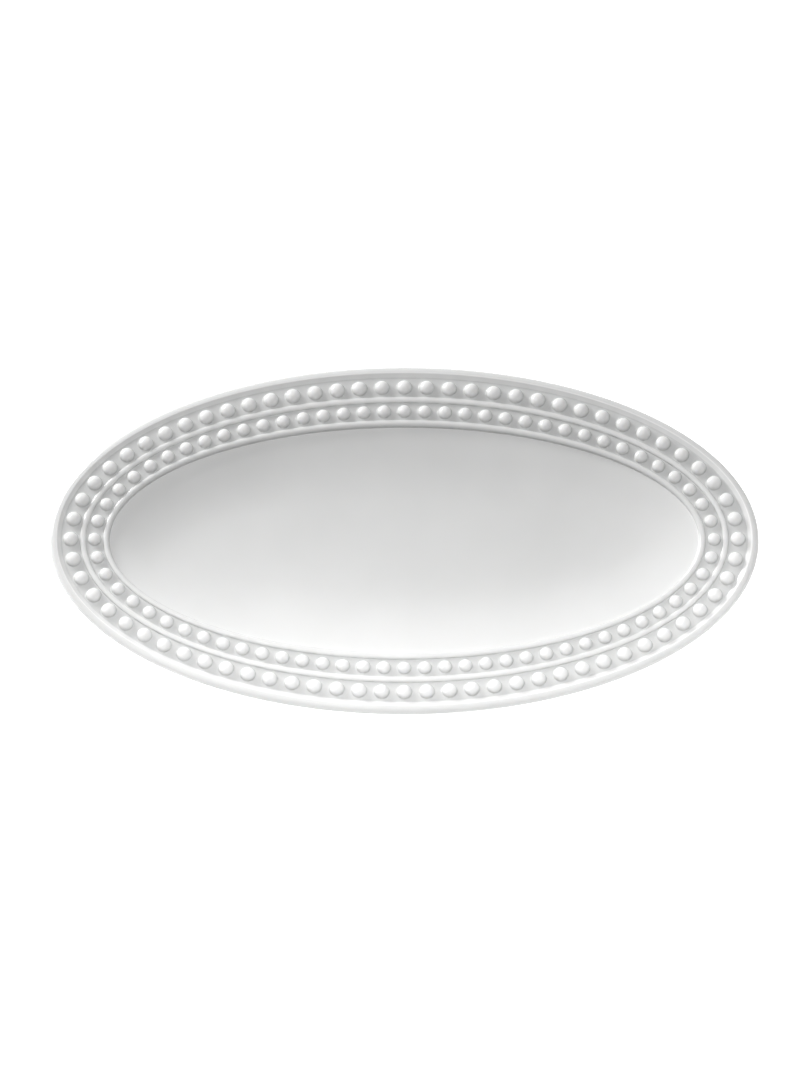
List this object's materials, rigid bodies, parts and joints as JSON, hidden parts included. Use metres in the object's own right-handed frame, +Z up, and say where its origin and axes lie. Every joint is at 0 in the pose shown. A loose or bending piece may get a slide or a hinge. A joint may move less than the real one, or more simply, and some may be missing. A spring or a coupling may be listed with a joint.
{
  "type": "oval serving platter",
  "caption": "Oval white porcelain serving platter with a shallow well, rows of raised pearls between fillets round the rim, a rounded lip and a foot ring.",
  "frame": {"origin": "middle of the oval, on the table under the foot ring", "axes": "+X along the platter's length, +Y across it, +Z up out of the well"},
  "size_m": [0.36, 0.194, 0.0204],
  "materials": {
    "glazed_porcelain": "glossy clear glaze on white porcelain",
    "biscuit_foot": "glazed sides with an unglazed, polished sole"
  },
  "bodies": {
    "root": {"well_dish": "glazed_porcelain", "rim_flange": "glazed_porcelain", "lip_roll": "glazed_porcelain", "outer_pearl_band": "glazed_porcelain", "middle_fillet": "glazed_porcelain", "inner_pearl_band": "glazed_porcelain", "inner_fillet": "glazed_porcelain", "foot_ring": "biscuit_foot"}
  },
  "joints": []
}
